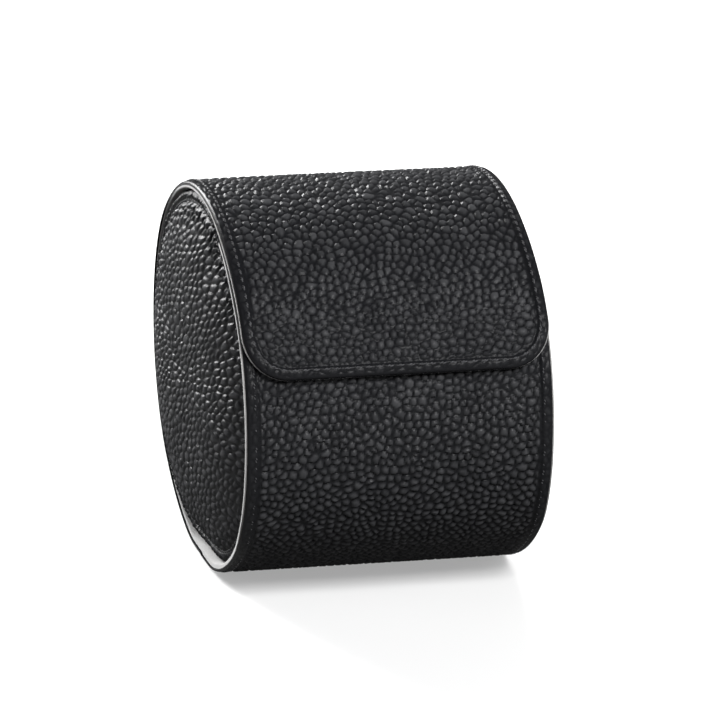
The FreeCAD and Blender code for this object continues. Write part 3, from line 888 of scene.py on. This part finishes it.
TONGUE_OUT = (0.5, 12.0)
PLATE_GAP = 0.05
PLATE_CLEAR = 0.15
PLATE_INSET = 1.2
PLATE_EDGE = ((PLATE_INSET, 0.0), (0.25, 0.0), (0.05, 0.12), (0.0, 0.3))
PLATE_SHRINKS = np.linspace(1.0, 0.05, 40)[1:]
PLATE_WAVE, PLATE_WAVE_Y, PLATE_WAVE_START, PLATE_WAVE_Z = 0.06, 3.7, 0.3, 4.9
# How far the rim stands out of its middle plane round the panel, which sits deepest at the underside
RIM_STANDS = (
    (-180.0, 1.25), (-150.0, 1.35), (-115.0, 1.15), (-100.0, 0.1), (-90.0, -0.8), (-45.0, -0.55),
    (0.0, -0.15), (60.0, 0.45), (90.0, 0.65), (120.0, 0.7), (150.0, 0.9), (180.0, 1.25),
)


def panel_base(angle):
    """Depth of the panel's outline below the oval, with room for the tongue and the bends."""
    tongue_start, tongue_end = TONGUE_OUT
    under_tongue = 1 - ease(angle, TONGUE_ANGLE + tongue_start, TONGUE_ANGLE + tongue_end)
    room = 0.0
    for bend in (FLAP_BEND_ANGLE, FRONT_BEND_ANGLE):
        room = room + BEND_ROOM * (1 - ease(abs(angle - bend), *BEND_ROOM_OUT))
    return WRAP + PANEL_CLEAR + room + sinking(angle) * under_tongue


def even_angles(oval, count):
    """Angles at even steps along the oval, and the way round it."""
    angles = np.linspace(-FULL_TURN / 2, FULL_TURN / 2, EVEN_SPOTS)
    y, z = oval.point(angles, 0.0)
    runs = np.concatenate([[0.0], np.cumsum(np.hypot(np.diff(y), np.diff(z)))])
    return np.interp(np.linspace(0.0, runs[-1], count + 1)[:-1], runs, angles), runs[-1]


panel_angles, panel_girth = even_angles(body_oval, PANEL_SPOTS)
panel_stitch_count = round(panel_girth / STITCH_PITCH)


def panel_ring(inset, shrink=1.0):
    spots = wrap_point(0.0, panel_angles, panel_base(panel_angles) + inset)
    y = PANEL_MIDDLE_Y + (spots[:, 1] - PANEL_MIDDLE_Y) * shrink
    z = PANEL_MIDDLE_Z + (spots[:, 2] - PANEL_MIDDLE_Z) * shrink
    return y, z


def rim_stand(angle):
    stand = 0.0
    for shift in np.linspace(-RIM_BLUR, RIM_BLUR, RIM_BLUR_STEPS):
        stand = stand + np.interp(angle + shift, *zip(*RIM_STANDS), period=FULL_TURN)
    return stand / RIM_BLUR_STEPS


rim_y, rim_z = panel_ring(PANEL_STITCH_LINE)
rim_way = np.arctan2(rim_z - PANEL_MIDDLE_Z, rim_y - PANEL_MIDDLE_Y)
rim_order = np.argsort(rim_way)
rim_reach = np.hypot(rim_y - PANEL_MIDDLE_Y, rim_z - PANEL_MIDDLE_Z)
rim_stands = rim_stand(panel_angles)


def panel_height(y, z, depth, girth_share):
    """Height of the panel over its middle plane: a rounded rim, a stitch channel and a padded middle."""
    rounding = -RIM_RISE * (1 - math.sin(math.pi / 2 * min(depth / RIM_WIDTH, 1.0)))
    wave = np.cos(2 * np.pi * panel_stitch_count * girth_share)
    channel = -hollow(np.array(depth), PANEL_STITCH_LINE, CHANNEL_HALF, CHANNEL_DEPTH)
    channel = channel * (1 - CHANNEL_PUCKER + CHANNEL_PUCKER * wave)
    way = np.arctan2(z - PANEL_MIDDLE_Z, y - PANEL_MIDDLE_Y)
    limit = np.interp(way, rim_way[rim_order], rim_reach[rim_order], period=2 * np.pi)
    stand = np.interp(way, rim_way[rim_order], rim_stands[rim_order], period=2 * np.pi)
    share = np.clip(np.hypot(y - PANEL_MIDDLE_Y, z - PANEL_MIDDLE_Z) / limit, 0.0, 1.0)
    rise = PANEL_DOME * (1 - share**DOME_POWER)
    pucker = PUCKER * wave * math.exp(-((depth - PANEL_STITCH_LINE - PUCKER_LINE) / PUCKER_WIDTH) ** 2)
    rim_pucker = RIM_PUCKER * wave * math.exp(-((depth - RIM_PUCKER_LINE) / RIM_PUCKER_WIDTH) ** 2)
    return stand * share**2 + rounding + channel + rise + pucker + rim_pucker


def panel_grain(y, z, depth, girth_share, side):
    """Height, tone and strength of the grain on a ring: pleats on the rim and pebbles inside the seam. Their
    tone carries painted shade in the creases.
    """
    if depth < PLEAT_OUT[1]:
        height, tone = pebbles(girth_share * panel_girth, np.full_like(y, PLEAT_SLANT * depth), RIM_PLEAT)
        return height, tone, PLEAT_SHARE * float(ease(depth, *PLEAT_IN) * (1 - ease(depth, *PLEAT_OUT)))
    along = y * math.cos(PANEL_TURN) - z * math.sin(PANEL_TURN)
    up = y * math.sin(PANEL_TURN) + z * math.cos(PANEL_TURN)
    height, tone = pebbles(along / PANEL_STRETCH + side * PANEL_SHIFT, up, PANEL_PEBBLE)
    return height, tone, float(ease(depth, *PANEL_FIELD_IN))


def panel_piece(name, side):
    """The leather of an end panel, from its back over the rim to the middle of its padding."""
    girth_share = np.arange(PANEL_SPOTS) / PANEL_SPOTS
    rows = [
        flat_ring(PANEL_BACK_X, *panel_ring(PANEL_BACK_INSET)),
        flat_ring(PANEL_BACK_X + PANEL_BACK_RISE, *panel_ring(0.0)),
    ]
    tones_and_shades = [np.full(PANEL_SPOTS, BACK_TONE), np.full(PANEL_SPOTS, BACK_TONE)]
    insets = [*PANEL_STEPS, *PANEL_FIELD_STEPS]
    last = insets[-1]
    levels = [(inset, inset, 1.0) for inset in insets]
    levels += [(last, last + (1 - shrink) * PANEL_MIDDLE_DEPTH, shrink) for shrink in PANEL_MIDDLE_SHRINKS]
    for inset, depth, shrink in levels:
        y, z = panel_ring(inset, shrink)
        height, tone, field = panel_grain(y, z, depth, girth_share, side)
        x = RIM_X + panel_height(y, z, depth, girth_share) - PANEL_RELIEF * (1 - height) * field
        rows.append(np.stack([x, y, z], axis=-1))
        tones_and_shades.append(blended_tone_and_shade(tone, field))
    tips = [[PANEL_BACK_X, PANEL_MIDDLE_Y, PANEL_MIDDLE_Z], rows[-1].mean(axis=0)]
    pebble = np.concatenate([*tones_and_shades, [BACK_TONE, MIDDLE_TONE]])
    return ring_body(name, rows, tips, side, panel_leather, pebble)


def panel_seam(name, side):
    x = RIM_X + rim_stands - PANEL_THREAD_DEPTH
    spots = np.stack([side * x, rim_y, rim_z], axis=-1)
    lifts = np.broadcast_to(np.array([float(side), 0.0, 0.0]), spots.shape)
    return seam(name, [(spots, lifts, True)])


def panel_plate(name, side):
    """The suede on the inner side of a panel, a flat plate with rounded edges."""
    low = PANEL_LINING_X
    high = PANEL_BACK_X - PLATE_GAP
    rows = []
    for shrink in PLATE_SHRINKS[::-1]:
        y, z = panel_ring(PLATE_CLEAR + PLATE_INSET, shrink)
        soft = PLATE_WAVE * np.sin(y / PLATE_WAVE_Y + PLATE_WAVE_START) * np.sin(z / PLATE_WAVE_Z)
        rows.append(np.stack([np.full_like(y, low) + soft, y, z], axis=-1))
    for inset, rise in PLATE_EDGE:
        rows.append(flat_ring(low + rise, *panel_ring(PLATE_CLEAR + inset)))
    rows.append(flat_ring(high, *panel_ring(PLATE_CLEAR)))
    tips = [[x, PANEL_MIDDLE_Y, PANEL_MIDDLE_Z] for x in (low, high)]
    return ring_body(name, rows, tips, side, suede)


left_panel = panel_piece("left_panel", -1)
right_panel = panel_piece("right_panel", 1)
left_seam = panel_seam("left_panel_seam", -1)
right_seam = panel_seam("right_panel_seam", 1)
left_back = panel_plate("left_panel_back", -1)
right_back = panel_plate("right_panel_back", 1)


# The cushion
CUSHION_SPOTS = 240
CUSHION_STEPS = 72
CUSHION_CLEAR = 0.05
CUSHION_DRAW_POWER = 5
GATHER = 0.35
GATHER_IN = (0.55, 1.0)
GATHER_COUNT = 46
GATHER_SWAY = 0.7
GATHER_SWAY_COUNT = 3


def cushion_piece(name):
    """A crowned cushion between the end panels, gathered where it is drawn in at both ends."""
    half = PANEL_LINING_X - CUSHION_CLEAR
    angles, _ = even_angles(cushion_oval, CUSHION_SPOTS)
    turn = np.linspace(0.0, 2 * np.pi, CUSHION_SPOTS, endpoint=False)
    folds = np.cos(GATHER_COUNT * turn + GATHER_SWAY * np.sin(GATHER_SWAY_COUNT * turn))
    rows = []
    for place in np.linspace(-1.0, 1.0, CUSHION_STEPS + 1):
        swell = CUSHION_CROWN * (1 - place**2) - CUSHION_DRAW * abs(place) ** CUSHION_DRAW_POWER
        gather = GATHER * ease(abs(place), *GATHER_IN) * folds
        rows.append(flat_ring(half * place, *cushion_oval.point(angles, -swell - gather)))
    tips = [[x, PANEL_MIDDLE_Y, PANEL_MIDDLE_Z] for x in (-half, half)]
    return ring_body(name, rows, tips, 1, suede)


cushion = cushion_piece("cushion")

# What each piece rides on and stands for.
for piece, nodes, slot in (
    (leather_rear, ("shell_leather", "flap_leather"), "black_leather"),
    (lining_rear, ("shell_lining", "flap_lining"), "grey_suede"),
    (stitching_rear, ("shell_stitches", "flap_stitches"), "black_thread"),
):
    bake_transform(piece)
    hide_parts(*nodes)
for piece, nodes, slot in (
    (leather_front, ("front_leather",), "black_leather"),
    (lining_front, ("front_lining",), "grey_suede"),
    (stitching_front, ("front_stitches",), "black_thread"),
):
    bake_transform(piece)
    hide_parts(*nodes)
for piece, nodes, slot in (
    (left_panel, ("left_panel_cover", "left_panel_foam"), "black_leather"),
    (right_panel, ("right_panel_cover", "right_panel_foam"), "black_leather"),
    (left_seam, ("left_panel_stitches",), "black_thread"),
    (right_seam, ("right_panel_stitches",), "black_thread"),
    (left_back, ("left_panel_lining",), "grey_suede"),
    (right_back, ("right_panel_lining",), "grey_suede"),
    (cushion, ("cushion_cover", "cushion_foam"), "grey_suede"),
):
    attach(piece, "insert")
    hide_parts(*nodes)
for material, nodes in (
    (board, ("shell_board", "flap_board", "front_board", "left_panel_board", "right_panel_board")),
    (steel, ("flap_magnet", "front_magnet")),
):
    for node in nodes:
        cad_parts[node].data.materials.clear()
        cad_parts[node].data.materials.append(material)


# Floor, light and camera, in metres
FLOOR_SIZE = 12.0
FLOOR_GLOW = 0.35
FLOOR_MATTE = 0.54
FLOOR_BOUNCE = 0.03
FLOOR_MIRROR = 0.15
FLOOR_MIRROR_BLUR = 0.25
WORLD_LIGHT = 0.07
LAMP_AIM = (0.0, 0.0, 0.05)
# Name, place, width, height and power in watts
LAMPS = (
    ("back_low", (-0.50, 1.58, 0.28), 0.42, 0.36, 33.0),
    ("back_high", (-0.48, 1.40, 0.70), 0.46, 0.60, 60.0),
    ("back_fill", (0.4, 1.9, 1.0), 2.4, 1.4, 9.0),
    ("left_softbox", (-1.6, -0.1, 0.5), 1.0, 0.8, 3.8),
    ("right_softbox", (1.6, -0.5, 0.5), 1.0, 0.8, 9.0),
    ("front_key", (0.45, -1.38, 1.22), 0.9, 0.7, 51.0),
    ("front_low", (0.05, -1.80, 0.40), 0.4, 0.35, 2.0),
)
# The camera that was fitted to the photograph, with its sensor and lens in mm and its shifts in widths
AZIMUTH = math.radians(-12.424)
ELEVATION = math.radians(14.496)
DISTANCE = 1482.3 * MM
FOCUS = (0.0, MIDDLE_Y * MM, LIFT * MM)
SENSOR_WIDTH = 36.0
LENS = 320.3
SHIFT_X = 0.01696
SHIFT_Y = 0.00994
CLIP_END = 50.0


def added_shaders(tree, first, second):
    node = add(tree, "ShaderNodeAddShader")
    tree.links.new(first, node.inputs[0])
    tree.links.new(second, node.inputs[1])
    return node.outputs[0]


def floor_piece():
    """A white floor that glows for what looks at it, takes shadows and mirrors faintly."""
    bpy.ops.mesh.primitive_plane_add(size=FLOOR_SIZE)
    floor = bpy.context.object
    floor.name = "floor"
    material, tree, shader = nodes_of("pale_floor")
    tree.nodes.remove(shader)
    path = add(tree, "ShaderNodeLightPath")
    seen = math_node(tree, "MAXIMUM", path.outputs["Is Camera Ray"], path.outputs["Is Glossy Ray"])
    seen = math_node(tree, "MAXIMUM", seen, path.outputs["Is Transmission Ray"])
    matte = add(tree, "ShaderNodeBsdfDiffuse")
    shade = ramp(tree, seen, [(0.0, (FLOOR_BOUNCE,) * 3), (1.0, (FLOOR_MATTE,) * 3)])
    tree.links.new(shade, matte.inputs["Color"])
    glow = add(tree, "ShaderNodeEmission")
    glow.inputs["Color"].default_value = (1.0, 1.0, 1.0, 1.0)
    tree.links.new(math_node(tree, "MULTIPLY", seen, FLOOR_GLOW), glow.inputs["Strength"])
    mirror = add(tree, "ShaderNodeBsdfGlossy")
    mirror.inputs["Roughness"].default_value = FLOOR_MIRROR_BLUR
    image = ramp(tree, path.outputs["Is Camera Ray"], [(0.0, (0.0,) * 3), (1.0, (FLOOR_MIRROR,) * 3)])
    tree.links.new(image, mirror.inputs["Color"])
    lit = added_shaders(tree, matte.outputs[0], glow.outputs[0])
    polished = added_shaders(tree, lit, mirror.outputs[0])
    tree.links.new(polished, tree.nodes["Material Output"].inputs["Surface"])
    floor.data.materials.append(material)


def area_light(name, place, width, height, power):
    lamp = bpy.data.lights.new(name, "AREA")
    lamp.shape = "RECTANGLE"
    lamp.size = width
    lamp.size_y = height
    lamp.energy = power
    holder = bpy.data.objects.new(name, lamp)
    bpy.context.scene.collection.objects.link(holder)
    holder.location = place
    direction = np.array(LAMP_AIM) - np.array(place)
    holder.rotation_euler = Vector(direction).to_track_quat("-Z", "Y").to_euler()


def camera_piece():
    level = math.cos(ELEVATION)
    back_way = np.array([math.sin(AZIMUTH) * level, -math.cos(AZIMUTH) * level, math.sin(ELEVATION)])
    lens = bpy.data.cameras.new("camera")
    lens.sensor_width = SENSOR_WIDTH
    lens.lens = LENS
    lens.shift_x = SHIFT_X
    lens.shift_y = SHIFT_Y
    lens.clip_end = CLIP_END
    camera = bpy.data.objects.new("camera", lens)
    bpy.context.scene.collection.objects.link(camera)
    camera.location = np.array(FOCUS) + back_way * DISTANCE
    camera.rotation_euler = (math.pi / 2 - ELEVATION, 0.0, AZIMUTH)
    return camera


floor_piece()
for lamp in LAMPS:
    area_light(*lamp)
world = bpy.data.worlds.new("studio")
world.use_nodes = True
back = world.node_tree.nodes["Background"]
back.inputs["Color"].default_value = (1.0, 1.0, 1.0, 1.0)
back.inputs["Strength"].default_value = WORLD_LIGHT
scene = bpy.context.scene
scene.world = world
scene.view_settings.view_transform = "Standard"
scene.camera = camera_piece()
